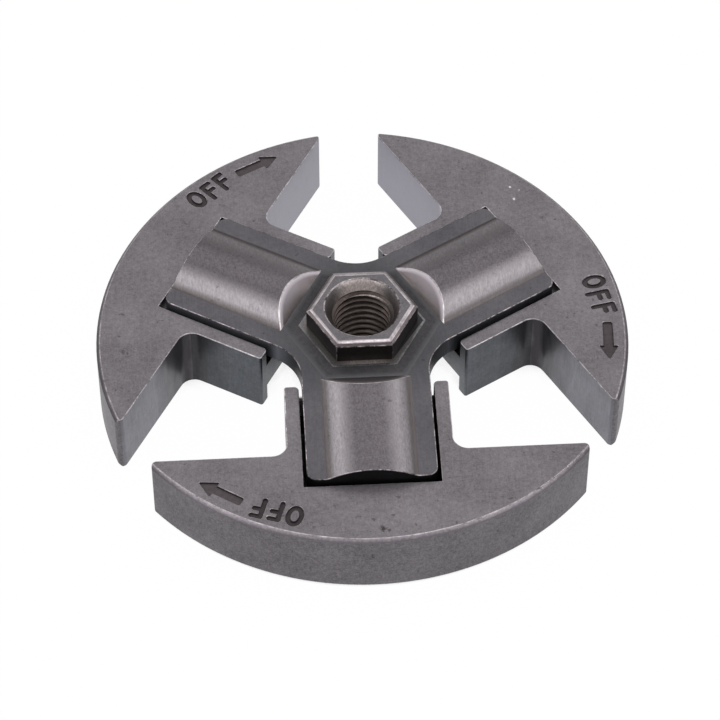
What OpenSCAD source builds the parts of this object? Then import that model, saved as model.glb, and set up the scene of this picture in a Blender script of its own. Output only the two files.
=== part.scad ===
// Centrifugal clutch of a chainsaw: a one-piece hub with three arms, which screws
// onto the crankshaft, and three shoes that slide outward along the arms against
// coil springs. The origin is on the thread's axis at the underside, +Z is up, and
// the front arm points along -Y. Each shoe and spring is drawn along +X first.

/* [Shoes] */
// Radius of the drum, and of each shoe's outer face
drum_r = 42.85; // [39:0.05:47]
// Slide of a shoe from rest until it meets the drum
shoe_travel = 1.85; // [1:0.05:2.5]
// Thickness of the shoes
shoe_h = 11.5; // [10:0.1:13]
// Distance from the axis to the straight inner edges of the horns
horn_in = 24.3; // [21:0.1:26]
// Rounding of the horns' tips
horn_tip_r = 0.8; // [0.3:0.1:1.5]
// Chamfer along the edges of the outer face
face_chamfer = 0.5; // [0.2:0.1:1]
// Thickness of the two prongs that run along an arm
prong_t = 2.25; // [1.5:0.05:3]
// Rounding of a prong's outer corner
prong_outer_r = 0.4; // [0.1:0.1:1]
// Rounding of a prong's inner corner
prong_inner_r = 0.7; // [0.1:0.1:1]
// Fillet between a prong and a horn
throat_r = 2.3; // [1:0.1:4]
// Thickness, along the arm, of the web that joins the prongs
web_t = 3; // [2:0.1:4]
// Height of the web
web_h = 4.7; // [3.5:0.1:6]

/* [Hub] */
// Width of an arm
arm_w = 19.7; // [17:0.1:21]
// Distance from the axis to the end of an arm
arm_end = 29.95; // [28:0.05:32]
// Rounding of the corners at an arm's end
arm_corner_r = 1.6; // [0.5:0.1:3]
// Radius of the large fillets between the arms
notch_r = 7.5; // [5:0.1:9]
// Height of the arms' flats above the shoes' tops
hub_rise = 1; // [0.5:0.1:2]
// Thickness of the arms at their flats
plate_t = 3.5; // [2.5:0.1:4]
// Radius of the round boss under the arms
boss_r = 9; // [8:0.1:9.5]
// Fillet between that boss and the arms
boss_fillet_r = 1.5; // [0.5:0.1:2]
// Chamfer round the foot of that boss
boss_chamfer = 0.6; // [0.2:0.1:1]

/* [Bulges over the springs] */
// Height of a bulge above its arm's flats
bulge_h = 1.9; // [1:0.1:2.5]
// Width of a bulge at its foot
bulge_w = 13.4; // [11:0.1:14]
// Soft hollow along the foot of a bulge
bulge_blend_r = 2; // [0.5:0.1:3]
// Length of the slope at a bulge's inner end
bulge_slope = 2.65; // [1:0.05:4]
// Reach of a bulge's inner end into the plinth's slope
bulge_reach = 0.15; // [0.05:0.05:0.5]

/* [Hexagon and thread] */
// Size of the hexagon across its flats
hex_af = 15; // [14:0.1:17]
// Height of the hexagon above the arms' flats
hex_rise = 4.1; // [3:0.1:6]
// Height of the chamfer round the hexagon's top
hex_chamfer_h = 0.5; // [0.2:0.05:1]
// Width of that chamfer
hex_chamfer_w = 0.68; // [0.2:0.02:1]
// Size of the plinth's top across its flats
plinth_af = 16.8; // [15.2:0.1:19]
// Size of the plinth's foot across its flats
plinth_foot_af = 21.5; // [20:0.1:23]
// Height of the plinth above the arms' flats
plinth_rise = 0.3; // [0.1:0.05:0.8]
// Radius of the threaded hole at the thread's crests
thread_minor_r = 4.32; // [3.8:0.01:4.8]
// Radius of the countersink at the top of the hole
sink_top_r = 5.8; // [5:0.1:6.2]
// Depth of that countersink
sink_depth = 2.5; // [1:0.1:4]

/* [Springs] */
// Outer radius of a spring
spring_r = 4.2; // [3.6:0.1:4.4]
// Thickness of the spring wire
wire_d = 1.6; // [1.2:0.05:1.7]
// Number of a spring's turns, with its closed end turns
spring_turns = 7; // [5:1:7]
// Distance from the arms' underside down to the springs' axes
spring_drop = 2.5; // [2:0.1:3]
// Thickness of the lug at an arm's end, which the spring bears on
lug_t = 2.2; // [1.5:0.1:3]

/* [Clearances] */
// Gap on each side between an arm and the prongs
side_gap = 0.5; // [0.2:0.05:0.8]
// Gap between an arm's end and the shoe at rest
end_gap = 0.4; // [0.2:0.05:0.8]
// Gap between a shoe's web and the hub's round boss at rest
boss_gap = 2.1; // [2:0.1:3]
// Gap between a web's top and the underside of its arm
web_gap = 1; // [0.5:0.1:1.5]
// Gap round a spring in the groove under its arm
groove_gap = 0.3; // [0.2:0.05:0.6]
// Gap between each end of a spring and its seat
seat_gap = 0.1; // [0.05:0.05:0.3]
// Width of the lug beyond the spring, all round
lug_edge = 0.4; // [0.2:0.1:0.8]
// Length of the groove beyond the spring's inner end
groove_lead = 1; // [0.5:0.1:2]

/* [Hidden] */
$fn = 96;

// Overrun of the cuts, and sinking of joined shapes into each other
over = 1;

// Directions of the three arms
arms = 3;
front_angle = -90;
right_angle = 30;
left_angle = 150;
arm_step = 360 / arms;

// Heights
hub_top = shoe_h + hub_rise;
plate_z = hub_top - plate_t;
hex_top = hub_top + hex_rise;
plinth_top = hub_top + plinth_rise;
web_top = plate_z - web_gap;
web_z = web_top - web_h;
spring_z = plate_z - spring_drop;

// Sizes across and along an arm
arm_half = arm_w / 2;
pocket_half = arm_half + side_gap;
pocket_end = arm_end + end_gap;
prong_half = pocket_half + prong_t;
prong_in = boss_r + boss_gap;
web_out = prong_in + web_t;
lug_in = arm_end - lug_t;
lug_r = spring_r + lug_edge;
groove_r = spring_r + groove_gap;
groove_in = web_out - groove_lead;

// The outer face is round about a point that lies inward by the travel
tip_centre_x = horn_in + horn_tip_r;
tip_centre_y = sqrt(pow(drum_r - horn_tip_r, 2) - pow(tip_centre_x + shoe_travel, 2));
tip_angle = atan2(tip_centre_y, tip_centre_x + shoe_travel);
beyond_share = 1.3;

// Depth that the large fillets between the arms dip into the arms' sides
notch_dip = 0.01;

// Circle of the bulge's crown and the circles that blend its foot, which dip a
// little into the arm's flats so that they end in a line
blend_dip = 0.03;
crown_r = (pow(bulge_w / 2, 2) + pow(bulge_h, 2)) / (2 * bulge_h);
crown_z = bulge_h - crown_r;
blend_z = bulge_blend_r - blend_dip;
blend_x = sqrt(pow(crown_r + bulge_blend_r, 2) - pow(blend_z - crown_z, 2));
touch_share = crown_r / (crown_r + bulge_blend_r);
touch_x = blend_x * touch_share;
touch_z = crown_z + (blend_z - crown_z) * touch_share;
bulge_in = plinth_foot_af / 2 - bulge_reach;

// Centre line of a spring's wire
coil_r = spring_r - wire_d / 2;
coil_in = web_out + seat_gap + wire_d / 2;
coil_out = lug_in - seat_gap - wire_d / 2;
closed_pitch = wire_d * 1.04;
open_pitch = (coil_out - coil_in - 2 * closed_pitch) / (spring_turns - 2);
steps_per_turn = 16;
wire_sides = 8;

// The area between a square corner at the origin and the circle that rounds it
module corner(r) {
    difference() {
        square(r);
        translate([r, r]) circle(r);
    }
}

// The same area with an overrun past the corner, for a cut
module corner_cut(r) {
    difference() {
        translate([-over, -over]) square(r + over);
        translate([r, r]) circle(r);
    }
}

// One horned block: the outer face, the straight inner edges and the round tips
module horns_outline() {
    intersection() {
        translate([-shoe_travel, 0]) circle(drum_r);
        polygon([[horn_in, -tip_centre_y], tip_ray(-1, 0), tip_ray(-1, 1), tip_ray(0, 1),
                 tip_ray(1, 1), tip_ray(1, 0), [horn_in, tip_centre_y]]);
    }
    for (side = [-1, 1])
        translate([tip_centre_x, side * tip_centre_y]) circle(horn_tip_r);
}

// A point on a ray from the centre of the outer face, at the tip or far beyond it
function tip_ray(side, far) = far == 0
    ? [tip_centre_x, side * tip_centre_y]
    : [-shoe_travel + drum_r * beyond_share * cos(side * tip_angle),
       drum_r * beyond_share * sin(side * tip_angle)];

// Outline of a shoe seen from above
module shoe_outline() {
    difference() {
        union() {
            horns_outline();
            translate([prong_in, -prong_half])
                square([horn_in + over - prong_in, 2 * prong_half]);
            for (side = [0, 1])
                mirror([0, side]) translate([horn_in, prong_half])
                    mirror([1, 0]) corner(throat_r);
        }
        translate([prong_in - over, -pocket_half])
            square([pocket_end - prong_in + over, 2 * pocket_half]);
        for (side = [0, 1]) mirror([0, side]) {
            translate([prong_in, prong_half]) mirror([0, 1]) corner_cut(prong_outer_r);
            translate([prong_in, pocket_half]) corner_cut(prong_inner_r);
        }
    }
}

// The body of the outer face, with a chamfer along both of its edges
module shoe_face() {
    translate([-shoe_travel, 0, 0]) rotate_extrude()
        polygon([[0, 0], [drum_r - face_chamfer, 0], [drum_r, face_chamfer],
                 [drum_r, shoe_h - face_chamfer], [drum_r - face_chamfer, shoe_h],
                 [0, shoe_h]]);
}

// A shoe: two horns with the pocket between them, two prongs and the web under the arm
module shoe() {
    intersection() {
        linear_extrude(shoe_h) shoe_outline();
        shoe_face();
    }
    translate([prong_in, -pocket_half - prong_inner_r, web_z])
        cube([web_t, 2 * (pocket_half + prong_inner_r), web_h]);
}

// Outline of an arm, from the axis to its rounded end
module arm_outline() {
    difference() {
        translate([0, -arm_half]) square([arm_end, arm_w]);
        for (side = [0, 1])
            mirror([0, side]) translate([arm_end, arm_half])
                mirror([1, 0]) mirror([0, 1]) corner_cut(arm_corner_r);
    }
}

// The corner between two arms, filled up to its large fillet
module notch_fill() {
    spread = arm_half + notch_r;
    reach = spread / tan(arm_step / 2);
    difference() {
        polygon([[0, 0], [reach, arm_half],
                 [reach * cos(arm_step) + arm_half * sin(arm_step),
                  reach * sin(arm_step) - arm_half * cos(arm_step)]]);
        rotate(arm_step / 2) translate([(spread - notch_dip) / sin(arm_step / 2), 0])
            circle(notch_r);
    }
}

// A straight-sided hexagonal block from half of its section
module hexagonal(half_section) {
    mirrored = [for (i = [len(half_section) - 1 : -1 : 0])
                [-half_section[i][0], half_section[i][1]]];
    intersection_for (i = [0 : 2])
        rotate(60 * i) rotate([90, 0, 90])
            translate([0, 0, -plinth_foot_af]) linear_extrude(2 * plinth_foot_af)
                polygon(concat(half_section, mirrored));
}

// The hexagon for a spanner, with its chamfered top
module spanner_hexagon() {
    half = hex_af / 2;
    hexagonal([[half, plate_z], [half, hex_top - hex_chamfer_h],
               [half - hex_chamfer_w, hex_top]]);
}

// The low plinth round the hexagon, which slopes down to the arms' flats
module plinth() {
    hexagonal([[plinth_foot_af / 2, hub_top - over], [plinth_foot_af / 2, hub_top],
               [plinth_af / 2, plinth_top]]);
}

// Section of a bulge across its arm, with zero height at the arm's flats
module bulge_section() {
    difference() {
        polygon([[-blend_x, -over], [blend_x, -over], [blend_x, -blend_dip],
                 [touch_x, touch_z], [-touch_x, touch_z], [-blend_x, -blend_dip]]);
        for (side = [-1, 1])
            translate([side * blend_x, blend_z]) circle(bulge_blend_r);
    }
    intersection() {
        translate([0, crown_z]) circle(crown_r);
        translate([-touch_x, 0]) square([2 * touch_x, bulge_h + over]);
    }
}

// A bulge over a spring, with its sloped inner end
module bulge() {
    slope_over = bulge_slope * (bulge_h + over) / bulge_h;
    translate([0, 0, hub_top]) intersection() {
        rotate([90, 0, 90]) linear_extrude(arm_end) bulge_section();
        rotate([90, 0, 0]) translate([0, 0, -arm_half]) linear_extrude(arm_w)
            polygon([[bulge_in, -over], [arm_end, -over], [arm_end, bulge_h + over],
                     [bulge_in + slope_over, bulge_h + over], [bulge_in, 0]]);
    }
}

// The lug under an arm's end
module lug() {
    translate([lug_in, 0, spring_z]) rotate([90, 0, 90]) linear_extrude(lug_t) {
        circle(lug_r);
        translate([-lug_r, 0]) square([2 * lug_r, spring_drop + over]);
    }
}

// The groove under an arm that holds the upper half of its spring
module spring_groove() {
    translate([groove_in, 0, spring_z]) rotate([0, 90, 0])
        cylinder(r = groove_r, h = lug_in - groove_in);
}

// The round boss under the arms, down to the clutch's underside
module boss() {
    rotate_extrude() difference() {
        polygon([[0, 0], [boss_r - boss_chamfer, 0], [boss_r, boss_chamfer],
                 [boss_r, plate_z - boss_fillet_r], [boss_r + boss_fillet_r, plate_z],
                 [boss_r + boss_fillet_r, plate_z + over], [0, plate_z + over]]);
        translate([boss_r + boss_fillet_r, plate_z - boss_fillet_r]) circle(boss_fillet_r);
    }
}

// The threaded hole at the thread's crests, with a countersink at the top
module threaded_hole() {
    translate([0, 0, -over]) cylinder(r = thread_minor_r, h = hex_top + 2 * over);
    translate([0, 0, hex_top - sink_depth])
        cylinder(r1 = thread_minor_r, r2 = sink_top_r, h = sink_depth);
}

// The hub, one sintered piece
module hub() {
    color([0.36, 0.37, 0.39]) difference() {
        union() {
            translate([0, 0, plate_z]) linear_extrude(plate_t)
                for (i = [0 : arms - 1]) rotate(front_angle + i * arm_step) {
                    arm_outline();
                    notch_fill();
                }
            for (i = [0 : arms - 1]) rotate(front_angle + i * arm_step) {
                bulge();
                lug();
            }
            boss();
            spanner_hexagon();
            plinth();
        }
        for (i = [0 : arms - 1]) rotate(front_angle + i * arm_step) spring_groove();
        threaded_hole();
    }
}

// Position along the arm of the wire's centre after a number of turns
function coil_x(turn) =
    turn < 1 ? coil_in + closed_pitch * turn
    : turn > spring_turns - 1 ? coil_out - closed_pitch * (spring_turns - turn)
    : coil_in + closed_pitch + open_pitch * (turn - 1);

// A point on the wire's skin, at a turn of the coil and an angle round the wire
function wire_point(turn, angle) =
    let (r = coil_r + wire_d / 2 * cos(angle))
    [coil_x(turn) + wire_d / 2 * sin(angle),
     r * sin(360 * turn), spring_z + r * cos(360 * turn)];

// A coil spring with closed ends
module spring() {
    rings = spring_turns * steps_per_turn;
    points = [for (i = [0 : rings], k = [0 : wire_sides - 1])
              wire_point(i / steps_per_turn, 360 * k / wire_sides)];
    skin = [for (i = [0 : rings - 1], k = [0 : wire_sides - 1])
            let (a = i * wire_sides, b = a + wire_sides, next = (k + 1) % wire_sides)
            [a + k, a + next, b + next, b + k]];
    first_end = [for (k = [wire_sides - 1 : -1 : 0]) k];
    last_end = [for (k = [0 : wire_sides - 1]) rings * wire_sides + k];
    polyhedron(points, concat([first_end], skin, [last_end]), convexity = 10);
}

module shoe_front() { color([0.46, 0.45, 0.46]) rotate(front_angle) shoe(); }
module shoe_right() { color([0.46, 0.45, 0.46]) rotate(right_angle) shoe(); }
module shoe_left() { color([0.46, 0.45, 0.46]) rotate(left_angle) shoe(); }
module spring_front() { color([0.28, 0.28, 0.3]) rotate(front_angle) spring(); }
module spring_right() { color([0.28, 0.28, 0.3]) rotate(right_angle) spring(); }
module spring_left() { color([0.28, 0.28, 0.3]) rotate(left_angle) spring(); }

hub();
shoe_front();
shoe_right();
shoe_left();
spring_front();
spring_right();
spring_left();
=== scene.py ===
"""Looks of a chainsaw's centrifugal clutch: the sintered hub with its left-hand thread,
the three shoes with their stamped OFF marks and arrows, and the coil springs."""
import math

import bpy
from mathutils import Matrix, Quaternion, Vector


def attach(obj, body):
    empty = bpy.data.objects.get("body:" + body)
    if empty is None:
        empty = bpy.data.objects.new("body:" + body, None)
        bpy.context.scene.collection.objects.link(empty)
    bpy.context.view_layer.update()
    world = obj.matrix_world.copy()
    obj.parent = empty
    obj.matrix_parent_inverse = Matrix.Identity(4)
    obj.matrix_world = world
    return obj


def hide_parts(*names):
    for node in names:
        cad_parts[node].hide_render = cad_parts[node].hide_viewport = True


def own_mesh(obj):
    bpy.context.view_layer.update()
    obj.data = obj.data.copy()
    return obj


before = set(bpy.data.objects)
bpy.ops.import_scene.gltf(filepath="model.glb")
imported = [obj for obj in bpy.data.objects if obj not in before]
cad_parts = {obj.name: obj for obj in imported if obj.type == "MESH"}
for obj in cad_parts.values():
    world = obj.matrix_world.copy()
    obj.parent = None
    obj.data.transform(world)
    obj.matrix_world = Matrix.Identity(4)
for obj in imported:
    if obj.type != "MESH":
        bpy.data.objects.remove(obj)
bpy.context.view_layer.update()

MM = 0.001
ANGLES = {"front": -90, "right": 30, "left": 150}

# Sizes of the solids that the new pieces follow, in millimetres like all sizes below
DRUM_R = 42.85
SHOE_TOP = 11.5
HUB_TOP = 12.5
PLINTH_TOP = 12.8
HEX_TOP = 16.6
HORN_IN = 24.3
THROAT_R = 27.5
THREAD_MINOR_R = 4.32
THREAD_MAJOR_R = 5.0
THREAD_PITCH = 1.25
WIRE_D = 1.6
COIL_R = 3.4
COIL_IN, COIL_OUT = 15.0, 26.85
COIL_Z = 6.5
COIL_TURNS = 7
CLOSED_PITCH = 1.664
CROWN_R = 12.76
CROWN_AXIS_Z = 1.64
TRAVEL = 1.85

# Bounds that tell the parts of a solid apart, each between two of them
BORE_ZONE_R = 6.0
SINK_ZONE_R = 6.3
HEX_FOOT_R = 7.6
PLINTH_FLAT_R = 8.9
HEX_ZONE_R = 10.0
SLOPE_ZONE_R = 11.6
CRESCENT_R = 20.0
CRESCENT_TOP = 14.6
OVER_PLINTH = PLINTH_TOP + 0.05
POCKET_IN = 12.0
POCKET_HALF_W = 10.8
WALL_RIM_HALF_W = 12.2
PRONG_HALF_W = 12.9
CHAMFER_ZONE = 0.7
CHAMFER_STRIP_ZONE = 0.85
RIM_DEPTH = 0.3
HAIR = 0.02

# The same for the upward part of a face's normal, and for its part towards the middle
DOWN, UPRIGHT, WALL, CHAMFER, GENTLE, LEVEL = -0.5, 0.1, 0.25, 0.3, 0.985, 0.99
INWARD = 0.3

# How far edges are rounded
HEX_EDGE = 0.3
PLINTH_EDGE = 0.16
TOP_EDGE = 0.14
LOW_EDGE = 0.12
BORE_EDGE = 0.06
SHOE_EDGE = 0.13
TIP_EDGE = 0.1

# Folds in degrees from which an edge is rounded or stays sharp in the shading
EDGE_FOLD = 20
PLINTH_FOLD = 3
SHARP_FOLD = 38
WIRE_FOLD = 40

# Points of a mesh that lie nearer than this become one
NEAR = 0.002


# Working with one object at a time

def alone(piece):
    """Makes a piece the only one that is selected."""
    if bpy.context.object and bpy.context.object.mode != "OBJECT":
        bpy.ops.object.mode_set(mode="OBJECT")
    bpy.ops.object.select_all(action="DESELECT")
    piece.hide_set(False)
    piece.select_set(True)
    bpy.context.view_layer.objects.active = piece


def newest(name):
    """Names the object that an operator has just added."""
    piece = bpy.context.object
    piece.name = piece.data.name = name
    return piece


def pick(piece, verts=None, edges=None, faces=None):
    """Selects, in object mode, the parts of a mesh that a test on each accepts."""
    mesh = piece.data
    for group in (mesh.vertices, mesh.edges, mesh.polygons):
        group.foreach_set("select", [False] * len(group))
    tests = ((mesh.vertices, verts), (mesh.edges, edges), (mesh.polygons, faces))
    for group, test in tests:
        if test:
            group.foreach_set("select", [bool(test(part)) for part in group])


def edit(piece, kind, **tests):
    """Opens a piece in edit mode with what the tests accept selected."""
    alone(piece)
    kinds = ("VERT", "EDGE", "FACE")
    bpy.context.tool_settings.mesh_select_mode = [kind == each for each in kinds]
    pick(piece, **tests)
    bpy.ops.object.mode_set(mode="EDIT")


def done():
    """Goes back to object mode."""
    bpy.ops.object.mode_set(mode="OBJECT")


def finish_with(piece, kind, **settings):
    """Adds a modifier and applies it."""
    alone(piece)
    modifier = piece.modifiers.new(kind.title(), kind)
    for key, value in settings.items():
        setattr(modifier, key, value)
    bpy.ops.object.modifier_apply(modifier=modifier.name)


def cut(piece, cutter):
    """Cuts one closed shape out of a piece; the cut's walls get the cutter's finish."""
    finish_with(piece, "BOOLEAN", object=cutter, operation="DIFFERENCE", solver="MANIFOLD",
                material_mode="TRANSFER")
    bpy.data.objects.remove(cutter)


def turned(piece, name, degrees):
    """A copy of a piece with a mesh of its own, turned about the thread's axis."""
    copy = bpy.data.objects.new(name, piece.data.copy())
    copy.data.name = name
    bpy.context.scene.collection.objects.link(copy)
    copy.data.transform(Matrix.Rotation(math.radians(degrees), 4, "Z"))
    return copy


def fold_angles(mesh):
    """The angle in degrees between the two faces at each edge, below zero in a hollow."""
    points = mesh.vertices
    sides = {}
    for polygon in mesh.polygons:
        corners = list(polygon.vertices)
        for a, b in zip(corners, corners[1:] + corners[:1]):
            sides.setdefault((min(a, b), max(a, b)), []).append((a, b, polygon.normal))
    folds = {}
    for key, pair in sides.items():
        if len(pair) != 2:
            folds[key] = 0
            continue
        (a, b, one), (_, _, other) = pair
        beyond = (points[b].co - points[a].co).cross(one)
        folds[key] = math.copysign(math.degrees(one.angle(other, 0)), other.dot(beyond))
    return folds


def skin_of(node, name):
    """A new piece from a CAD node's solid, its loose triangles joined into clean faces."""
    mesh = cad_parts[node].data.copy()
    piece = bpy.data.objects.new(name, mesh)
    mesh.name = name
    bpy.context.scene.collection.objects.link(piece)
    mesh.materials.clear()
    alone(piece)
    bpy.ops.mesh.customdata_custom_splitnormals_clear()
    edit(piece, "VERT", verts=lambda v: True)
    bpy.ops.mesh.remove_doubles(threshold=NEAR * MM)
    bpy.ops.mesh.select_all(action="SELECT")
    bpy.ops.mesh.dissolve_limited(angle_limit=math.radians(0.3))
    done()
    return piece


def dress(piece, finishes, choose, only=None):
    """Gives each face of a piece the finish that its place and normal call for."""
    names = list(finishes)
    if not piece.data.materials:
        for name in names:
            piece.data.materials.append(finishes[name])
    for face in piece.data.polygons:
        if only is None or names[face.material_index] == only:
            face.material_index = names.index(choose(face.center / MM, face.normal))


def ease_edges(piece, width_at, widest):
    """Rounds each outer edge by the width for its place; the strips get the second finish."""
    mesh = piece.data
    folds = fold_angles(mesh)
    shares = mesh.attributes.new("bevel_weight_edge", "FLOAT", "EDGE")
    for edge in mesh.edges:
        a, b = (mesh.vertices[v].co / MM for v in edge.vertices)
        shares.data[edge.index].value = width_at((a + b) / 2, folds.get(edge.key, 0)) / widest
    finish_with(piece, "BEVEL", width=widest * MM, offset_type="OFFSET", limit_method="WEIGHT",
                segments=2, profile=0.5, use_clamp_overlap=False, material=1)


def from_arm(vector, degrees):
    """The parts of a vector along an arm, across it and up."""
    a = math.radians(degrees)
    return (vector.x * math.cos(a) + vector.y * math.sin(a),
            vector.y * math.cos(a) - vector.x * math.sin(a), vector.z)


def smooth(piece):
    """Joins the points that a cut leaves too near, then shades smoothly but for flat faces."""
    edit(piece, "VERT", verts=lambda v: True)
    bpy.ops.mesh.remove_doubles(threshold=NEAR * MM)
    done()
    finish_with(piece, "TRIANGULATE", quad_method="BEAUTY", ngon_method="CLIP")
    alone(piece)
    bpy.ops.object.shade_smooth_by_angle(angle=math.radians(SHARP_FOLD))
    finish_with(piece, "WEIGHTED_NORMAL", mode="FACE_AREA", weight=80, keep_sharp=True)


# Materials

class Value:
    """A number that varies over a surface. Python's operators add Math nodes to it."""

    def __init__(self, finish, socket):
        self.finish, self.socket = finish, socket

    def maths(self, operation, *terms, clamp=False):
        """The result of one Math node."""
        return self.finish.node("ShaderNodeMath", {"operation": operation, "use_clamp": clamp},
                                dict(enumerate(terms)))

    def __add__(self, other):
        return self.maths("ADD", self, other)

    def __sub__(self, other):
        return self.maths("SUBTRACT", self, other)

    def __rsub__(self, other):
        return self.maths("SUBTRACT", other, self)

    def __mul__(self, other):
        return self.maths("MULTIPLY", self, other)

    def __pow__(self, other):
        return self.maths("POWER", self, other)

    def step(self, low, high):
        """Goes from 0 at low to 1 at high, and stays between them."""
        return self.maths("MULTIPLY", (self - low), 1 / (high - low), clamp=True)


class Finish:
    """A material in the making, in millimetres on the object's own coordinates."""

    def __init__(self, name):
        self.material = bpy.data.materials.new(name)
        self.material.use_nodes = True
        self.tree = self.material.node_tree
        self.tree.nodes.clear()

    def node(self, kind, settings=None, sockets=None, out=0):
        """Adds a node: its settings first, then the values or links of its sockets."""
        made = self.tree.nodes.new(kind)
        for key, value in (settings or {}).items():
            setattr(made, key, value)
        for key, value in (sockets or {}).items():
            if isinstance(value, Value):
                self.tree.links.new(value.socket, made.inputs[key])
            else:
                made.inputs[key].default_value = value
        return Value(self, made.outputs[out]) if made.outputs else made

    def point(self, stretch=(1, 1, 1)):
        """The place on the object in millimetres, stretched along each axis."""
        place = self.node("ShaderNodeTexCoord", out=3)
        return self.node("ShaderNodeVectorMath", {"operation": "MULTIPLY"},
                         {0: place, 1: [s / MM for s in stretch]})

    def noise(self, scale, detail=2, roughness=0.5, stretch=(1, 1, 1), shift=0):
        """Noise from 0 to 1 with so many cells per millimetre."""
        at = self.node("ShaderNodeVectorMath", {"operation": "ADD"},
                       {0: self.point(stretch), 1: (shift, shift * 1.7, -shift)})
        return self.node("ShaderNodeTexNoise", {},
                         {"Vector": at, "Scale": scale, "Detail": detail,
                          "Roughness": roughness})

    def part(self, axis):
        """One coordinate of the place on the object, in millimetres."""
        return self.node("ShaderNodeSeparateXYZ", {}, {0: self.point()}, out=axis)

    def across(self):
        """How far a place lies to the side of the nearest arm's middle line, in millimetres."""
        x, y = self.part(0), self.part(1)
        sides = []
        for degrees in ANGLES.values():
            a = math.radians(degrees)
            side = y * math.cos(a) - x * math.sin(a)
            sides.append(side.maths("ABSOLUTE", side))
        nearest = sides[0].maths("MINIMUM", sides[0], sides[1])
        return nearest.maths("MINIMUM", nearest, sides[2])

    def reach(self):
        """How far a place lies from the thread's axis, in millimetres."""
        return self.node("ShaderNodeVectorMath", {"operation": "LENGTH"},
                         {0: self.point((1, 1, 0))}, out=1)

    def blend(self, share, low, high):
        """A colour between two others."""
        return self.node("ShaderNodeMix", {"data_type": "RGBA"}, {0: share, 6: low, 7: high},
                         out=2)

    def bump(self, height, depth):
        """A Bump node for a height from 0 to 1 that stands for a depth in millimetres."""
        return self.node("ShaderNodeBump", {},
                         {"Height": height, "Distance": depth * MM, "Strength": 1.0})

    def surface(self, **sockets):
        """The surface's own shader and the output, which end the material."""
        shader = self.node("ShaderNodeBsdfPrincipled", {},
                           {key.replace("_", " "): value for key, value in sockets.items()})
        self.node("ShaderNodeOutputMaterial", {}, {0: shader})
        return self.material


def grey(red, green, blue):
    """A colour for a shader from its screen values, by the usual sRGB curve."""
    def linear(v):
        v /= 255
        return v / 12.92 if v <= 0.04045 else ((v + 0.055) / 1.055) ** 2.4
    return (linear(red), linear(green), linear(blue), 1)


DIRT = grey(44, 36, 34)
GLINT = grey(250, 248, 250)
PIT = grey(52, 48, 48)

# Place on the shoes' top faces, reach, colour and strength of each nick and speck
NICKS = [
    (-5.9, -34.18, 0.5, DIRT, 0.4), (1.0, -38.7, 0.7, DIRT, 0.8), (1.9, -39.1, 0.4, DIRT, 0.7),
    (-13.6, -35.5, 0.35, DIRT, 0.4), (-20.35, -29.65, 0.3, DIRT, 0.35),
    (29.9, 21.22, 0.5, DIRT, 0.45), (-37.1, -2.78, 0.45, DIRT, 0.45),
    (36.32, -1.37, 0.4, DIRT, 0.4), (-9.2, -37.89, 0.35, DIRT, 0.35),
    (25.78, 25.52, 0.25, GLINT, 0.6), (25.35, 28.13, 0.22, GLINT, 0.7),
    (26.74, 27.41, 0.18, GLINT, 0.3),
]

# Stretches of the noise whose streaks run along an arm's face or up a wall
ALONG_Y = (7, 0.35, 1)
SHORT_Y = (4.5, 1.6, 1)
ALONG_Z = (4, 4, 0.25)


def steel(name, low, high, rough=0.42, metal=0.85, grain=0.012, pits=0.5, speckle=0.25,
          along=None, marked=0.0, spread=0.12, tint=None):
    """Sintered steel: cloudy tone, a fine grain, sparse dark pits and rubbing lines."""
    f = Finish(name)
    clouds = f.noise(0.1, 5, 0.62)
    mottle = f.noise(1.3, 3, 0.6, shift=7)
    fine = f.noise(3.4, 3, 0.7, shift=3)
    tone = (clouds * (0.75 - speckle) + mottle * 0.25 + fine * speckle).step(0.32, 0.68)
    spots = f.noise(0.9, 2, 0.5, shift=31).step(0.70, 0.76)
    height = fine * 0.6 + mottle * 0.4
    if along:
        lines = f.noise(1.0, 2, 0.65, stretch=along, shift=11)
        height = height * (1 - marked) + lines * marked
        tone = (tone * (1 - marked) + lines.step(0.3, 0.7) * marked).step(0.05, 0.95)
    colour = f.blend(tone, low, high)
    if tint:
        colour = tint(f, colour)
    colour = f.blend(spots * pits, colour, PIT)
    return f.surface(Base_Color=colour, Metallic=metal,
                     Roughness=(tone * -spread + (rough + spread / 2)),
                     Normal=f.bump(height - spots * 0.6, grain))


def worn_edge(name, body, bright, rough=0.3, rubbed=(0.38, 0.62)):
    """Edges that handling has rubbed bright in places, between stretches of the body's tone."""
    f = Finish(name)
    wear = (f.noise(0.55, 3, 0.7, shift=5) * 0.65 + f.noise(2.6, 2, 0.6, shift=9) * 0.35)
    share = wear.step(*rubbed)
    return f.surface(Base_Color=f.blend(share, body, bright), Metallic=0.9,
                     Roughness=(share * -0.12 + rough + 0.1),
                     Normal=f.bump(f.noise(4, 2), 0.01))


def nicked(f, colour):
    """The few nicks and bright specks that handling has left on the shoes' faces."""
    for x, y, reach, tone, share in NICKS:
        near = f.node("ShaderNodeVectorMath", {"operation": "DISTANCE"},
                      {0: f.point(), 1: (x, y, SHOE_TOP)}, out=1)
        ragged = near + (f.noise(2.2, 2, 0.6, shift=x) - 0.5) * (2 * reach)
        colour = f.blend(ragged.step(reach, reach * 0.3) * share, colour, tone)
    return colour


def bulge_rubbing_sheen_and_foot_shade(f, colour):
    """Bulges: painted shade in the hollow at the foot, flanks lighter from rubbing and from a
    painted highlight, and a plain crown.
    """
    side, z = f.across(), f.part(2)
    flank = side.step(2.2, 4.6)
    streaks = f.noise(1.0, 3, 0.75, stretch=(4.5, 1.2, 1), shift=17).step(0.3, 0.66)
    # The flanks are lightened along streaks: partly rubbing, partly a painted highlight.
    colour = f.blend(flank * (streaks * 0.6 + 0.35), colour, grey(146, 141, 144))
    # The foot of the bulge is darkened: painted shade in the hollow.
    return f.blend(z.step(13.05, 12.6) * 0.8, colour, grey(66, 59, 58))


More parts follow.
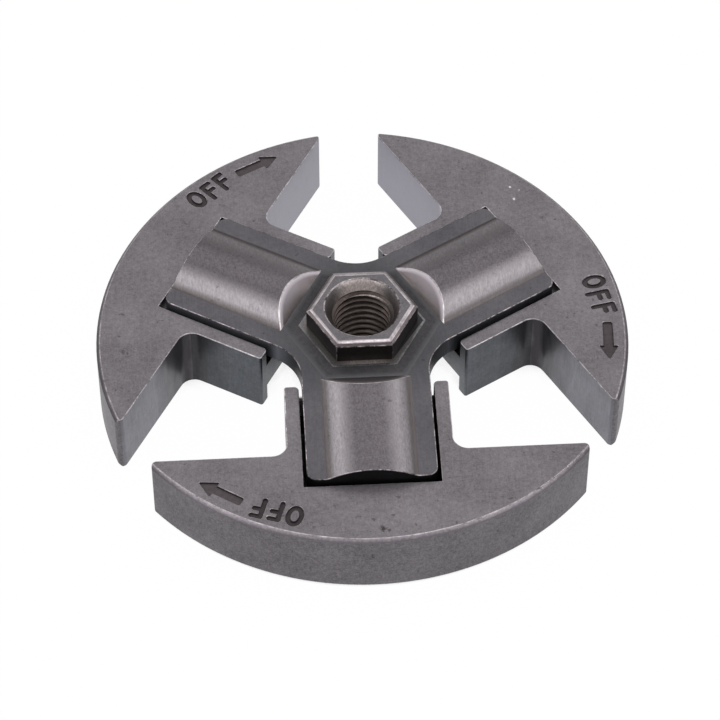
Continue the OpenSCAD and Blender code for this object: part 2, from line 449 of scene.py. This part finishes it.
def facet_highlight(f, colour):
    """The sloped inner end of a bulge, painted lighter towards its top and brightest in a
    narrow band along its rim: a painted highlight.
    """
    side, z = f.across(), f.part(2) - CROWN_AXIS_Z
    depth = CROWN_R - (side * side + z * z) ** 0.5
    # Painted highlight: lighter towards the top of the facet, brightest along its rim.
    colour = f.blend(f.part(2).step(12.5, 14.0) * 0.85, colour, grey(134, 127, 132))
    return f.blend(depth.step(0.5, 0.15), colour, grey(168, 161, 167))


def darker_near_middle(f, colour):
    """Flats that are darker near the hub's middle."""
    return f.blend(f.reach().step(17.0, 10.5) * 0.7, colour, grey(64, 65, 68))


def plinth_foot(f, colour):
    """The plinth's slope, painted dark as shade, which gets as light as the flats at its foot.
    """
    return f.blend(f.part(2).step(12.62, 12.5), colour, grey(82, 81, 84))


def chamfer_front_light_and_highlight(f, colour):
    """A chamfer painted lighter at the front, where light falls on it, with its upper half
    painted as bright as its edge: a painted highlight.
    """
    front = f.part(1).step(-20, -32)
    colour = f.blend(front * 0.9, colour, grey(112, 107, 112))
    ragged = f.part(2) + (f.noise(1.8, 3, 0.7, shift=13) - 0.5) * 0.7
    return f.blend(ragged.step(11.1, 11.5) * (front * 0.6 + 0.2), colour, grey(158, 151, 156))


def throat_shade(f, colour):
    """Walls painted darker near the throats as shade, apart from those at the back."""
    from_throat = f.reach() - THROAT_R
    away = (from_throat.maths("ABSOLUTE", from_throat)
            + (f.noise(0.8, 3, 0.6, stretch=(1, 1, 0.2), shift=23) - 0.5) * 5)
    return f.blend(away.step(6.5, 0.3) * f.part(1).step(12, 4) * 0.9, colour, grey(36, 32, 33))


def horn_light_and_throat_shade(f, colour):
    """Horn walls painted lighter at the back of the clutch, where light falls on them, and
    darker with painted shade in the other throats.
    """
    return throat_shade(f, f.blend(f.part(1).step(-8, 14), colour, grey(143, 141, 151)))


def sink_side_shade(f, colour):
    """A countersink painted darker at its sides as shade, and bright at the back and the front.
    """
    side = f.part(0).maths("ABSOLUTE", f.part(0)).step(1.8, 4.4)
    return f.blend(side * 0.85, colour, grey(74, 72, 73))


def wall_gap_shade(f, colour):
    """Side walls that are lighter at the left, and painted black as shade in the slit beside
    the front shoe.
    """
    colour = f.blend(f.part(0).step(-9, -14) * 0.8, colour, grey(112, 114, 122))
    front = f.part(1).step(-3, -7) * f.part(0).maths("ABSOLUTE", f.part(0)).step(13, 11.5)
    return f.blend(front * 0.85, colour, grey(16, 14, 15))


SHOE = {
    "top": steel("shoe_pressed_face", grey(82, 78, 81), grey(133, 128, 132), along=ALONG_Y,
                 marked=0.12, speckle=0.4, tint=nicked),
    "edge": worn_edge("shoe_edge", grey(96, 92, 95), grey(196, 190, 194), rubbed=(0.38, 0.6)),
    "rim": worn_edge("shoe_rubbed_rim", grey(94, 89, 93), grey(174, 166, 171), rough=0.36,
                     rubbed=(0.32, 0.66)),
    "wall_rim": worn_edge("shoe_wall_rim", grey(104, 100, 103), grey(192, 185, 190),
                          rubbed=(0.36, 0.6)),
    "rubbed": worn_edge("stamp_rim", grey(100, 95, 98), grey(166, 159, 164)),
    # The chamfer's dark tone is painted shade.
    "chamfer": steel("shoe_chamfer", grey(62, 59, 63), grey(94, 90, 95), pits=0.2,
                     speckle=0.45, tint=chamfer_front_light_and_highlight),
    "friction": steel("shoe_friction_face", grey(74, 71, 74), grey(128, 124, 129), rough=0.5,
                      along=ALONG_Z, marked=0.08, speckle=0.5, grain=0.02),
    # The horn walls' light tone is painted light.
    "horn": steel("shoe_horn_wall", grey(96, 95, 101), grey(127, 126, 134), rough=0.38,
                  along=ALONG_Z, marked=0.3, pits=0.2, tint=horn_light_and_throat_shade),
    # The prong walls' dark tone is painted shade.
    "prong": steel("shoe_prong_wall", grey(54, 57, 62), grey(94, 97, 103), rough=0.36,
                   along=ALONG_Z, marked=0.18, pits=0.3, tint=throat_shade),
    # The pocket walls are painted near black: painted shade in the narrow gaps.
    "pocket": steel("shoe_pocket_wall", grey(24, 21, 21), grey(42, 38, 38), rough=0.5),
    "under": steel("shoe_underside", grey(88, 84, 87), grey(124, 119, 123), along=ALONG_Y,
                   marked=0.12),
    "mark": steel("stamped_mark", grey(38, 32, 34), grey(64, 56, 59), rough=0.6, metal=0.5),
    "mark_floor": steel("stamped_floor", grey(52, 46, 48), grey(86, 78, 81), rough=0.55,
                        metal=0.6),
}
HUB = {
    "flat": steel("hub_flat", grey(70, 69, 73), grey(102, 99, 103), rough=0.38, along=ALONG_Y,
                  marked=0.2, tint=darker_near_middle),
    "edge": worn_edge("hub_edge", grey(66, 63, 65), grey(180, 171, 174), rubbed=(0.42, 0.62)),
    "rim": worn_edge("hub_rubbed_rim", grey(112, 106, 108), grey(188, 180, 183), rough=0.3,
                     rubbed=(0.28, 0.6)),
    "bulge": steel("hub_bulge", grey(74, 70, 73), grey(118, 112, 116), rough=0.32,
                   along=SHORT_Y, marked=0.3, speckle=0.5, grain=0.02, tint=bulge_rubbing_sheen_and_foot_shade),
    "facet": steel("hub_bulge_facet", grey(84, 77, 76), grey(112, 104, 104), rough=0.38,
                   tint=facet_highlight),
    # The plinth ring is painted dark as the shadow beside the hexagon's foot, its rounded rim
    # lighter as a painted highlight, and its slope dark as painted shade.
    "plinth": steel("hub_plinth", grey(36, 37, 39), grey(56, 56, 58), rough=0.45),
    "plinth_rim": worn_edge("hub_plinth_rim", grey(76, 76, 76), grey(118, 117, 118)),
    "slope": steel("hub_plinth_slope", grey(40, 39, 41), grey(76, 74, 76),
                   rough=0.42, tint=plinth_foot),
    "hex_top": steel("hexagon_top", grey(84, 81, 84), grey(116, 112, 116), rough=0.4,
                     speckle=0.5, grain=0.018),
    "hex_chamfer": steel("hexagon_chamfer", grey(72, 66, 67), grey(116, 107, 108), rough=0.34),
    # The hexagon's walls are painted near black: painted shade.
    "hex_wall": steel("hexagon_wall", grey(24, 20, 21), grey(58, 52, 51), rough=0.4),
    "sink": steel("countersink", grey(122, 113, 110), grey(226, 214, 210), rough=0.34,
                  along=ALONG_Z, marked=0.5, tint=sink_side_shade),
    "bore": steel("bore_wall", grey(38, 31, 29), grey(66, 57, 53), rough=0.35),
    # The side walls' dark tone is painted shade.
    "wall": steel("hub_side_wall", grey(52, 53, 58), grey(88, 89, 95), rough=0.4,
                  along=ALONG_Z, marked=0.3, tint=wall_gap_shade),
    "under": steel("hub_underside", grey(70, 68, 70), grey(96, 93, 95), along=ALONG_Y,
                   marked=0.2),
    "thread": steel("oiled_thread", grey(52, 45, 42), grey(98, 87, 83), rough=0.35, metal=0.8),
}
wire_steel = steel("spring_wire", grey(70, 70, 74), grey(104, 104, 108), rough=0.3, metal=0.9)


# The hub

def hub_finish(at, normal):
    """The finish of a face of the hub."""
    degrees = max(ANGLES.values(), key=lambda turn: from_arm(at, turn)[0])
    inward = -from_arm(normal, degrees)[0]
    radius, z, up = math.hypot(at.x, at.y), at.z, normal.z
    if up < DOWN:
        return "under"
    if radius < BORE_ZONE_R and z < HEX_TOP - HAIR / 2:
        return "bore" if up < UPRIGHT else "sink"
    if z > OVER_PLINTH and radius < HEX_ZONE_R:
        return "hex_top" if up > LEVEL else "hex_chamfer" if up > UPRIGHT else "hex_wall"
    if up < WALL:
        return "wall"
    if radius < PLINTH_FLAT_R:
        return "plinth"
    if radius < SLOPE_ZONE_R and z > HUB_TOP + HAIR / 2 and up > GENTLE:
        return "slope"
    if z > HUB_TOP + HAIR / 4:
        return "facet" if inward > INWARD else "bulge"
    return "flat"


def hub_edge_width(middle, fold):
    """How far an edge of the hub is rounded."""
    radius, z = math.hypot(middle.x, middle.y), middle.z
    if (abs(z - PLINTH_TOP) < HAIR and HEX_FOOT_R < radius < HEX_ZONE_R
            and fold > PLINTH_FOLD):
        return PLINTH_EDGE
    if fold < EDGE_FOLD:
        return 0
    if z > HEX_TOP - HAIR:
        return HEX_EDGE if radius > SINK_ZONE_R else TOP_EDGE
    if radius < BORE_ZONE_R:
        return BORE_EDGE
    if z > OVER_PLINTH and radius < HEX_ZONE_R:
        return LOW_EDGE
    return TOP_EDGE if z > HUB_TOP - 0.5 else LOW_EDGE


def hub_strip(at, normal):
    """The finish of a rounded edge of the hub."""
    radius, z = math.hypot(at.x, at.y), at.z
    if z < OVER_PLINTH and radius < HEX_ZONE_R:
        return "plinth_rim"
    hexagon = z > HEX_TOP - 0.2 and radius > SINK_ZONE_R
    crescent = HUB_TOP + 0.05 < z < CRESCENT_TOP and HEX_ZONE_R < radius < CRESCENT_R
    return "rim" if hexagon or crescent else "edge"


hub = skin_of("hub", "hub_body")
dress(hub, HUB, hub_finish)
ease_edges(hub, hub_edge_width, HEX_EDGE)
dress(hub, HUB, hub_strip, only="edge")


# Half widths of the thread's V at its crest and past the hole's wall, how far it reaches
# past that wall, its turns, and those of them below the hole
CREST_HALF_W, MOUTH_HALF_W = 0.078, 0.595
OVERLAP = 0.22
THREAD_TURNS, TURNS_BELOW = 15, 2
STEPS_A_TURN = 56


def thread_cutter():
    """The V of a left-hand thread, wound up the hole and closed at both ends."""
    bpy.ops.mesh.primitive_plane_add(size=1, location=(0, 0, 0))
    cutter = newest("thread_cutter")
    corners = [(THREAD_MINOR_R - OVERLAP, -MOUTH_HALF_W), (THREAD_MAJOR_R, -CREST_HALF_W),
               (THREAD_MAJOR_R, CREST_HALF_W), (THREAD_MINOR_R - OVERLAP, MOUTH_HALF_W)]
    order = [0, 1, 3, 2]
    for place, (r, z) in zip(order, corners):
        low = z - TURNS_BELOW * THREAD_PITCH
        cutter.data.vertices[place].co = Vector((r * MM, 0, low * MM))
    edit(cutter, "FACE", faces=lambda face: True)
    bpy.ops.mesh.delete(type="ONLY_FACE")
    done()
    finish_with(cutter, "SCREW", axis="Z", angle=math.radians(-360), iterations=THREAD_TURNS,
                screw_offset=THREAD_PITCH * MM, steps=STEPS_A_TURN, render_steps=STEPS_A_TURN,
                use_merge_vertices=False, use_smooth_shade=False)
    edit(cutter, "EDGE")
    bpy.ops.mesh.select_non_manifold(extend=False)
    bpy.ops.mesh.edge_face_add()
    bpy.ops.mesh.select_all(action="SELECT")
    bpy.ops.mesh.normals_make_consistent(inside=False)
    done()
    return cutter


cutter = thread_cutter()
cutter.data.materials.append(HUB["thread"])
cut(hub, cutter)
smooth(hub)


# The shoes

# Depth of a mark and of the flare at its mouth, and how far its outline grows from the
# floor to the top of each. The floors' depths differ a little, so that no two coincide
DEPTH, FLARE = 0.35, 0.07
FLOOR_STEP = 0.004
DRAFT = 0.06
WALL_GROWTH = (-DRAFT, DRAFT)
FLARE_GROWTH = (0.02, 2 * FLARE)

# Letters, as places in the arm's plan and sizes of their strokes
LETTER_TILT = math.radians(18)
LETTER_H = 3.9
STROKE = 0.84
O_CENTRE = (35.7, -11.95)
O_HALF_W = 1.38
O_HOLE_HALF_W = 0.6
O_END_STROKE = 0.92
F_CENTRES = ((34.6, -14.65), (33.85, -17.25))
F_STEM = -0.62
F_ARM_START = F_STEM + 0.2
F_UPPER_END, F_LOWER_END = F_STEM + 1.35, F_STEM + 1.2
F_LOWER_UP = 0.15
ROUND_SIDES = 24

# Arrow, with the rounding of its corners and the growth of its head's point and sides
ARROW_TAIL, ARROW_TIP = (32.65, -19.75), (28.6, -26.05)
SHAFT_W = 1.5
HEAD_L, HEAD_W = 2.75, 3.0
TAIL_ROUND, HEAD_ROUND = 0.28, 0.22
POINT_GROWTH, SIDE_GROWTH = 1.9, 1.7


def round_cutter(half_long, half_wide, mouth=False, growth=WALL_GROWTH):
    """An oval cutter that narrows to its floor, or the shallow flare at a mark's mouth."""
    depth, (low, high) = (FLARE, FLARE_GROWTH) if mouth else (DEPTH, growth)
    bpy.ops.mesh.primitive_cone_add(vertices=ROUND_SIDES, radius1=(half_wide + low) * MM,
                                    radius2=(half_wide + high) * MM, depth=depth * 2 * MM,
                                    location=(0, 0, 0))
    cutter = newest("stroke")
    for v in cutter.data.vertices:
        grown = low if v.co.z < 0 else high
        v.co.x *= (half_long + grown) / (half_wide + grown)
    cutter.data.materials.append(SHOE["rubbed" if mouth else "mark"])
    return cutter


def bar(start, end, width, mouth=False):
    """A round-ended stroke in the arm's plan, narrower at its floor."""
    length = math.dist(start, end)
    stroke = round_cutter(width / 2, width / 2, mouth)
    edit(stroke, "VERT", verts=lambda v: v.co.x > 1e-6)
    bpy.ops.transform.translate(value=(length * MM, 0, 0))
    done()
    place_on_top(stroke, start, math.atan2(end[1] - start[1], end[0] - start[0]))
    return stroke


def place_on_top(piece, at, heading):
    """Sets a flat cutter on the front shoe's top, from its place in the arm's plan."""
    plan = (Matrix.Translation((at[0] * MM, at[1] * MM, SHOE_TOP * MM))
            @ Matrix.Rotation(heading, 4, "Z"))
    piece.data.transform(Matrix.Rotation(math.radians(ANGLES["front"]), 4, "Z") @ plan)


def on_letter(centre, across, up):
    """A point of a letter: across in reading order, and up towards the shoe's outer face."""
    a = LETTER_TILT
    return (centre[0] + up * math.cos(a) - across * math.sin(a),
            centre[1] - up * math.sin(a) - across * math.cos(a))


def letter_o(centre):
    """The ring of an O, as one oval less another, and the flare at its mouth."""
    cutters = [round_cutter(LETTER_H / 2, O_HALF_W, mouth=True),
               round_cutter(LETTER_H / 2, O_HALF_W),
               round_cutter(LETTER_H / 2 - O_END_STROKE, O_HOLE_HALF_W, growth=(DRAFT, -DRAFT))]
    for cutter in cutters:
        place_on_top(cutter, centre, -LETTER_TILT)
    mouth, ring, island = cutters
    copy = turned(island, "mouth_island", 0)
    cut(mouth, copy)
    cut(ring, island)
    return [mouth, ring]


def letter_f(centre):
    """The stem and the two arms of an F."""
    half = LETTER_H / 2 - STROKE / 2
    lines = [((F_STEM, -half), (F_STEM, half)), ((F_ARM_START, half), (F_UPPER_END, half)),
             ((F_ARM_START, F_LOWER_UP), (F_LOWER_END, F_LOWER_UP))]
    return [bar(on_letter(centre, *start), on_letter(centre, *end), STROKE, mouth)
            for mouth in (True, False) for start, end in lines]


def upright(piece, edge):
    """Whether an edge of a cutter runs from its floor to its top."""
    floor_end, top_end = (piece.data.vertices[v].co.z for v in edge.vertices)
    return round(floor_end, 6) != round(top_end, 6)


def arrow_cutters(length, mouth):
    """The shaft and the three-cornered head of an arrow along X."""
    depth, growth = (FLARE, FLARE_GROWTH) if mouth else (DEPTH, WALL_GROWTH)
    bpy.ops.mesh.primitive_cube_add(size=1, location=(0, 0, 0))
    shaft = newest("shaft")
    for v in shaft.data.vertices:
        wide = growth[v.co.z > 0]
        v.co = Vector((-wide if v.co.x < 0 else length - HEAD_L / 2,
                       math.copysign(SHAFT_W / 2 + wide, v.co.y),
                       math.copysign(depth, v.co.z))) * MM
    edit(shaft, "EDGE", edges=lambda e: upright(shaft, e) and all(
        shaft.data.vertices[v].co.x < 0.5 * MM for v in e.vertices))
    bpy.ops.mesh.bevel(offset=TAIL_ROUND * MM, segments=3, affect="EDGES")
    done()
    bpy.ops.mesh.primitive_cylinder_add(vertices=3, radius=MM, depth=2 * MM, location=(0, 0, 0))
    head = newest("head")
    for v in head.data.vertices:
        wide = growth[v.co.z > 0]
        side = 0 if abs(v.co.x) < 1e-7 else math.copysign(1, v.co.x)
        v.co = Vector((length + POINT_GROWTH * wide if side == 0 else length - HEAD_L - wide,
                       side * (HEAD_W / 2 + SIDE_GROWTH * wide),
                       math.copysign(depth, v.co.z))) * MM
    edit(head, "EDGE", edges=lambda e: upright(head, e))
    bpy.ops.mesh.bevel(offset=HEAD_ROUND * MM, segments=3, affect="EDGES")
    done()
    return [shaft, head]


def arrow():
    """The arrow that shows which way the clutch unscrews."""
    heading = math.atan2(ARROW_TIP[1] - ARROW_TAIL[1], ARROW_TIP[0] - ARROW_TAIL[0])
    length = math.dist(ARROW_TAIL, ARROW_TIP)
    cutters = []
    for mouth in (True, False):
        for part in arrow_cutters(length, mouth):
            edit(part, "VERT", verts=lambda v: True)
            bpy.ops.mesh.normals_make_consistent(inside=False)
            done()
            part.data.materials.append(SHOE["rubbed" if mouth else "mark"])
            part.data.materials.append(SHOE["mark_floor"])
            for face in part.data.polygons:
                face.material_index = int(face.normal.z < -LEVEL)
            place_on_top(part, ARROW_TAIL, heading)
            cutters.append(part)
    return cutters


def shoe_finish(at, normal):
    """The finish of a face of the front shoe."""
    u, v, z = from_arm(at, ANGLES["front"])
    radius, up = math.hypot(u + TRAVEL, v), normal.z
    if abs(up) > LEVEL:
        return "under" if up < 0 else "top" if z > SHOE_TOP - 1 else "pocket"
    if radius > DRUM_R - CHAMFER_ZONE:
        return "chamfer" if abs(up) > CHAMFER else "friction"
    if abs(v) < POCKET_HALF_W and u > POCKET_IN:
        return "pocket"
    if abs(v) < PRONG_HALF_W and u < HORN_IN:
        return "prong"
    return "horn"


def shoe_edge_width(middle, fold):
    """How far an edge of the front shoe is rounded, less at the horns' thin tips."""
    u, v, z = from_arm(middle, ANGLES["front"])
    radius = math.hypot(u + TRAVEL, v)
    if fold < EDGE_FOLD:
        return 0
    tip = radius > DRUM_R - 0.2 and 0.1 < z < SHOE_TOP - 0.1
    return TIP_EDGE if tip else SHOE_EDGE


def shoe_strip(at, normal):
    """The finish of a rounded edge of the front shoe."""
    u, v, z = from_arm(at, ANGLES["front"])
    radius = math.hypot(u + TRAVEL, v)
    upper = z > SHOE_TOP - RIM_DEPTH
    if radius > DRUM_R - CHAMFER_STRIP_ZONE:
        return "rim" if upper else "chamfer"
    if abs(v) < POCKET_HALF_W and 1 < z < SHOE_TOP - 1:
        return "pocket"
    return "wall_rim" if abs(v) > WALL_RIM_HALF_W and upper else "edge"


shoe = skin_of("shoe_front", "shoe_front_body")
dress(shoe, SHOE, shoe_finish)
ease_edges(shoe, shoe_edge_width, SHOE_EDGE)
dress(shoe, SHOE, shoe_strip, only="edge")
letters = [letter_o(O_CENTRE), *(letter_f(centre) for centre in F_CENTRES)]
marks = [*(cutter for letter in letters for cutter in letter), *arrow()]
for count, mark in enumerate(marks):
    mark.data.transform(Matrix.Translation((0, 0, -FLOOR_STEP * (count % 4) * MM)))
    cut(shoe, mark)
smooth(shoe)
shoes = {"front": shoe}
for arm in ("right", "left"):
    shoes[arm] = turned(shoe, f"shoe_{arm}_body", ANGLES[arm] - ANGLES["front"])


# The springs

WIRE_SIDES = 16
COIL_STEPS = 28


def coil_place(turn):
    """The wire's place along the arm after a number of turns."""
    open_pitch = (COIL_OUT - COIL_IN - 2 * CLOSED_PITCH) / (COIL_TURNS - 2)
    if turn < 1:
        return COIL_IN + CLOSED_PITCH * turn
    if turn > COIL_TURNS - 1:
        return COIL_OUT - CLOSED_PITCH * (COIL_TURNS - turn)
    return COIL_IN + CLOSED_PITCH + open_pitch * (turn - 1)


def coil_spring():
    """A ring of wire, extruded and turned about the arm's line step by step."""
    bpy.ops.mesh.primitive_circle_add(vertices=WIRE_SIDES, radius=WIRE_D / 2 * MM,
                                      fill_type="NGON", location=(0, 0, 0))
    spring = newest("spring_front_coil")
    spring.data.transform(Matrix.Translation((COIL_IN * MM, 0, (COIL_Z + COIL_R) * MM))
                          @ Matrix.Rotation(math.radians(90), 4, "X"))
    edit(spring, "FACE", faces=lambda face: True)
    for i in range(COIL_TURNS * COIL_STEPS):
        ahead = coil_place((i + 1) / COIL_STEPS) - coil_place(i / COIL_STEPS)
        bpy.ops.mesh.extrude_region_move(TRANSFORM_OT_translate={"value": (ahead * MM, 0, 0)})
        bpy.ops.transform.rotate(value=math.radians(360 / COIL_STEPS), orient_axis="X",
                                 center_override=(0, 0, COIL_Z * MM))
    bpy.ops.mesh.select_all(action="SELECT")
    bpy.ops.mesh.normals_make_consistent(inside=False)
    done()
    alone(spring)
    bpy.ops.object.shade_smooth_by_angle(angle=math.radians(WIRE_FOLD))
    spring.data.materials.append(wire_steel)
    spring.data.transform(Matrix.Rotation(math.radians(ANGLES["front"]), 4, "Z"))
    return spring


springs = {"front": coil_spring()}
for arm in ("right", "left"):
    springs[arm] = turned(springs["front"], f"spring_{arm}_coil", ANGLES[arm] - ANGLES["front"])


# Each piece rides on its body and stands for its node

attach(hub, "hub")
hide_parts("hub")
for arm, degrees in ANGLES.items():
    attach(shoes[arm], f"shoe_{arm}")
    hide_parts(f"shoe_{arm}")
    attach(springs[arm], "hub")
    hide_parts(f"spring_{arm}")
    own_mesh(springs[arm])


# Floor, light and camera

# How far a narrow gap reaches, and the shares of open air between gap and white floor
GAP_REACH = 8
GAP_AIR, OPEN_AIR = 0.12, 0.3
WHITE_SHARE = 0.985

# Where the floor under the front arm turns from white to a painted shadow: at its sides, near
# the hub's middle and near the shoe's web
DARK_SIDE, DARK_BACK, DARK_FRONT = (10.8, 10.5), (-3.7, -4.3), (-31.5, -31)


def floor():
    """A wide pale floor that camera and reflections see as the white backdrop, save in narrow
    gaps, where the light of a studio doesn't reach it either."""
    bpy.ops.mesh.primitive_plane_add(size=6, location=(0, 0, 0))
    plane = newest("floor")
    f = Finish("floor_white")
    ray = f.node("ShaderNodeLightPath", out=0)
    glossy = f.node("ShaderNodeLightPath", out=3)
    through = f.node("ShaderNodeLightPath", out=6)
    seen = (ray + glossy + through).step(0, 1)
    air = f.node("ShaderNodeAmbientOcclusion", {"samples": 8}, {"Distance": GAP_REACH * MM},
                 out=1)
    x, y = f.part(0), f.part(1)
    under = (x.maths("ABSOLUTE", x).step(*DARK_SIDE) * y.step(*DARK_BACK)
             * y.step(*DARK_FRONT))
    pale = f.node("ShaderNodeBsdfDiffuse", {}, {0: (0.8, 0.8, 0.8, 1)})
    # Painted shadow: the floor under the front arm is dark to camera and reflections.
    dark = f.node("ShaderNodeBsdfDiffuse", {}, {0: (0.1, 0.09, 0.09, 1)})
    matt = f.node("ShaderNodeMixShader", {}, {0: seen * under, 1: pale, 2: dark})
    lit = f.node("ShaderNodeEmission", {}, {0: (1, 1, 1, 1), 1: 1.0})
    white = seen * air.step(GAP_AIR, OPEN_AIR) * (1 - under) * WHITE_SHARE
    mixed = f.node("ShaderNodeMixShader", {}, {0: white, 1: matt, 2: lit})
    f.node("ShaderNodeOutputMaterial", {}, {0: mixed})
    plane.data.materials.append(f.material)


def softbox(name, place, width, height, power, turn=0):
    """A soft rectangular lamp at a place in metres that faces the clutch, with its power in
    watts, turned about its own line by some degrees."""
    lamp = bpy.data.lights.new(name, "AREA")
    lamp.shape, lamp.size, lamp.size_y, lamp.energy = "RECTANGLE", width, height, power
    holder = bpy.data.objects.new(name, lamp)
    bpy.context.scene.collection.objects.link(holder)
    holder.location = place
    facing = (Vector((0, 0, 0)) - Vector(place)).to_track_quat("-Z", "Y")
    holder.rotation_euler = (facing @ Quaternion((0, 0, 1), math.radians(turn))).to_euler()


floor()
softbox("lamp_above", (0, 0, 0.6), 0.7, 0.36, 1.8, turn=14)
softbox("lamp_left", (-0.55, 0.11, 0.35), 0.3, 0.45, 0.65)
softbox("lamp_right", (0.55, 0.11, 0.35), 0.3, 0.45, 0.65)
softbox("lamp_back", (0, 0.55, 0.6), 0.8, 0.4, 0.9)
softbox("lamp_back_left", (-0.5, 0.6, 0.55), 0.25, 0.25, 0.5)
softbox("lamp_back_right", (0.5, 0.6, 0.55), 0.25, 0.25, 0.38)
softbox("lamp_front", (0, -0.6, 0.46), 0.6, 0.25, 0.6)
softbox("lamp_front_left", (-0.5, -0.36, 0.38), 0.4, 0.22, 0.75)
softbox("lamp_front_right", (0.5, -0.36, 0.38), 0.4, 0.22, 0.75)

SKY_STRENGTH = 0.4
world = bpy.data.worlds.new("studio")
bpy.context.scene.world = world
world.use_nodes = True
sky = world.node_tree.nodes["Background"]
sky.inputs["Color"].default_value = (1, 1, 1, 1)
sky.inputs["Strength"].default_value = SKY_STRENGTH

# The camera of the photo, solved from the part's three-fold symmetry
PICTURE_PX = 720
FOCAL_PX = 3407.75
SHIFT_PX = (-2.03, 14.65)
SENSOR = 36
CAMERA_UP, CAMERA_SIDE = math.radians(51.03), math.radians(3.134)
CAMERA_AWAY = 537.9

lens = bpy.data.cameras.new("camera")
lens.sensor_width, lens.lens = SENSOR, FOCAL_PX / PICTURE_PX * SENSOR
lens.shift_x, lens.shift_y = (shift / PICTURE_PX for shift in SHIFT_PX)
lens.clip_start, lens.clip_end = 0.01, 20
camera = bpy.data.objects.new("camera", lens)
bpy.context.scene.collection.objects.link(camera)
level = CAMERA_AWAY * MM * math.cos(CAMERA_UP)
camera.location = (-level * math.sin(CAMERA_SIDE), -level * math.cos(CAMERA_SIDE),
                   CAMERA_AWAY * MM * math.sin(CAMERA_UP))
camera.rotation_euler = (-camera.location).to_track_quat("-Z", "Y").to_euler()
bpy.context.scene.camera = camera
bpy.context.scene.view_settings.view_transform = "Standard"

bpy.context.view_layer.update()
